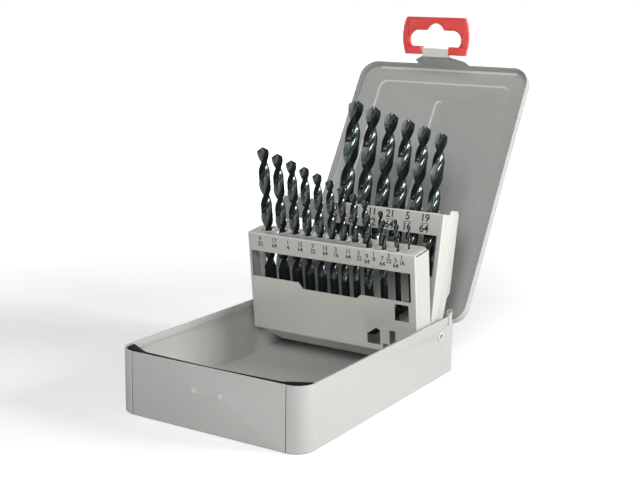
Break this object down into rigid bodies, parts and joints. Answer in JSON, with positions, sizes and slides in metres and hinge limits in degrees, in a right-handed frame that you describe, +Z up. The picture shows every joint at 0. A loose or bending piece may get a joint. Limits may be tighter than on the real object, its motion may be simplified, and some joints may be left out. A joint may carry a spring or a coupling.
{
  "type": "drill bit case",
  "caption": "Fold-open sheet-metal case whose lid lifts as two leaning racks of twist drills tip up, with a hang tab on the lid's latch.",
  "frame": {"origin": "middle of the tray's flat underside", "axes": "+X to the right as the open case faces the user, +Y back towards the lid's hinge, +Z up"},
  "size_m": [0.1248, 0.2744, 0.2113],
  "materials": {
    "case_steel": "satin grey",
    "rack_steel": "satin grey",
    "rest_steel": "plain",
    "drill_steel": "black oxide, bright edges",
    "buffer_rubber": "glossy black",
    "pin_steel": "plain",
    "hanger_plastic": "gloss red"
  },
  "bodies": {
    "base": {"base_tray": "case_steel", "hinge_pin": "pin_steel", "rack_rivets": "pin_steel", "front_buffer": "buffer_rubber"},
    "lid": {"lid_shell": "case_steel", "hanger": "hanger_plastic"},
    "front_rack_body": {"front_rack": "rack_steel", "front_rest": "rest_steel"},
    "rear_rack_body": {"rear_rack": "rack_steel", "rear_rest": "rest_steel"},
    "loose_drill_9_32": {"drill_9_32": "drill_steel"},
    "loose_drill_17_64": {"drill_17_64": "drill_steel"},
    "loose_drill_1_4": {"drill_1_4": "drill_steel"},
    "loose_drill_15_64": {"drill_15_64": "drill_steel"},
    "loose_drill_7_32": {"drill_7_32": "drill_steel"},
    "loose_drill_13_64": {"drill_13_64": "drill_steel"},
    "loose_drill_3_16": {"drill_3_16": "drill_steel"},
    "loose_drill_11_64": {"drill_11_64": "drill_steel"},
    "loose_drill_5_32": {"drill_5_32": "drill_steel"},
    "loose_drill_9_64": {"drill_9_64": "drill_steel"},
    "loose_drill_1_8": {"drill_1_8": "drill_steel"},
    "loose_drill_7_64": {"drill_7_64": "drill_steel"},
    "loose_drill_3_32": {"drill_3_32": "drill_steel"},
    "loose_drill_5_64": {"drill_5_64": "drill_steel"},
    "loose_drill_1_16": {"drill_1_16": "drill_steel"},
    "loose_drill_3_8": {"drill_3_8": "drill_steel"},
    "loose_drill_23_64": {"drill_23_64": "drill_steel"},
    "loose_drill_11_32": {"drill_11_32": "drill_steel"},
    "loose_drill_21_64": {"drill_21_64": "drill_steel"},
    "loose_drill_5_16": {"drill_5_16": "drill_steel"},
    "loose_drill_19_64": {"drill_19_64": "drill_steel"}
  },
  "joints": [
    {"name": "lid_hinge", "type": "hinge", "parent": "base", "child": "lid", "pos_m": [0, 0.0895, 0.0302], "axis": [-1, 0, 0], "range_deg": [-121.2, 0]},
    {"name": "front_rack_tilt", "type": "hinge", "parent": "base", "child": "front_rack_body", "pos_m": [0, 0.0674, 0.0262], "axis": [-1, 0, 0], "range_deg": [-82.9, 0]},
    {"name": "rear_rack_tilt", "type": "hinge", "parent": "base", "child": "rear_rack_body", "pos_m": [0, 0.0674, 0.0262], "axis": [-1, 0, 0], "range_deg": [-100.6, 0]},
    {"name": "pull_drill_9_32", "type": "slide", "parent": "front_rack_body", "child": "loose_drill_9_32", "axis": [0, -0.1236, 0.9923], "range_m": [0, 0.0555]},
    {"name": "pull_drill_17_64", "type": "slide", "parent": "front_rack_body", "child": "loose_drill_17_64", "axis": [0, -0.1236, 0.9923], "range_m": [0, 0.0555]},
    {"name": "pull_drill_1_4", "type": "slide", "parent": "front_rack_body", "child": "loose_drill_1_4", "axis": [0, -0.1236, 0.9923], "range_m": [0, 0.0555]},
    {"name": "pull_drill_15_64", "type": "slide", "parent": "front_rack_body", "child": "loose_drill_15_64", "axis": [0, -0.1236, 0.9923], "range_m": [0, 0.0555]},
    {"name": "pull_drill_7_32", "type": "slide", "parent": "front_rack_body", "child": "loose_drill_7_32", "axis": [0, -0.1236, 0.9923], "range_m": [0, 0.0555]},
    {"name": "pull_drill_13_64", "type": "slide", "parent": "front_rack_body", "child": "loose_drill_13_64", "axis": [0, -0.1236, 0.9923], "range_m": [0, 0.0555]},
    {"name": "pull_drill_3_16", "type": "slide", "parent": "front_rack_body", "child": "loose_drill_3_16", "axis": [0, -0.1236, 0.9923], "range_m": [0, 0.0555]},
    {"name": "pull_drill_11_64", "type": "slide", "parent": "front_rack_body", "child": "loose_drill_11_64", "axis": [0, -0.1236, 0.9923], "range_m": [0, 0.0529]},
    {"name": "pull_drill_5_32", "type": "slide", "parent": "front_rack_body", "child": "loose_drill_5_32", "axis": [0, -0.1236, 0.9923], "range_m": [0, 0.0529]},
    {"name": "pull_drill_9_64", "type": "slide", "parent": "front_rack_body", "child": "loose_drill_9_64", "axis": [0, -0.1236, 0.9923], "range_m": [0, 0.0529]},
    {"name": "pull_drill_1_8", "type": "slide", "parent": "front_rack_body", "child": "loose_drill_1_8", "axis": [0, -0.1236, 0.9923], "range_m": [0, 0.0485]},
    {"name": "pull_drill_7_64", "type": "slide", "parent": "front_rack_body", "child": "loose_drill_7_64", "axis": [0, -0.1236, 0.9923], "range_m": [0, 0.0485]},
    {"name": "pull_drill_3_32", "type": "slide", "parent": "front_rack_body", "child": "loose_drill_3_32", "axis": [0, -0.1236, 0.9923], "range_m": [0, 0.0399]},
    {"name": "pull_drill_5_64", "type": "slide", "parent": "front_rack_body", "child": "loose_drill_5_64", "axis": [0, -0.1236, 0.9923], "range_m": [0, 0.0343]},
    {"name": "pull_drill_1_16", "type": "slide", "parent": "front_rack_body", "child": "loose_drill_1_16", "axis": [0, -0.1236, 0.9923], "range_m": [0, 0.0343]},
    {"name": "pull_drill_3_8", "type": "slide", "parent": "rear_rack_body", "child": "loose_drill_3_8", "axis": [0, 0.184, 0.9829], "range_m": [0, 0.062]},
    {"name": "pull_drill_23_64", "type": "slide", "parent": "rear_rack_body", "child": "loose_drill_23_64", "axis": [0, 0.184, 0.9829], "range_m": [0, 0.062]},
    {"name": "pull_drill_11_32", "type": "slide", "parent": "rear_rack_body", "child": "loose_drill_11_32", "axis": [0, 0.184, 0.9829], "range_m": [0, 0.062]},
    {"name": "pull_drill_21_64", "type": "slide", "parent": "rear_rack_body", "child": "loose_drill_21_64", "axis": [0, 0.184, 0.9829], "range_m": [0, 0.062]},
    {"name": "pull_drill_5_16", "type": "slide", "parent": "rear_rack_body", "child": "loose_drill_5_16", "axis": [0, 0.184, 0.9829], "range_m": [0, 0.062]},
    {"name": "pull_drill_19_64", "type": "slide", "parent": "rear_rack_body", "child": "loose_drill_19_64", "axis": [0, 0.184, 0.9829], "range_m": [0, 0.062]}
  ],
  "couplings": [
    {"joint": "front_rack_tilt", "follows": "lid_hinge", "ratio": 0.684},
    {"joint": "rear_rack_tilt", "follows": "lid_hinge", "ratio": 0.83}
  ]
}
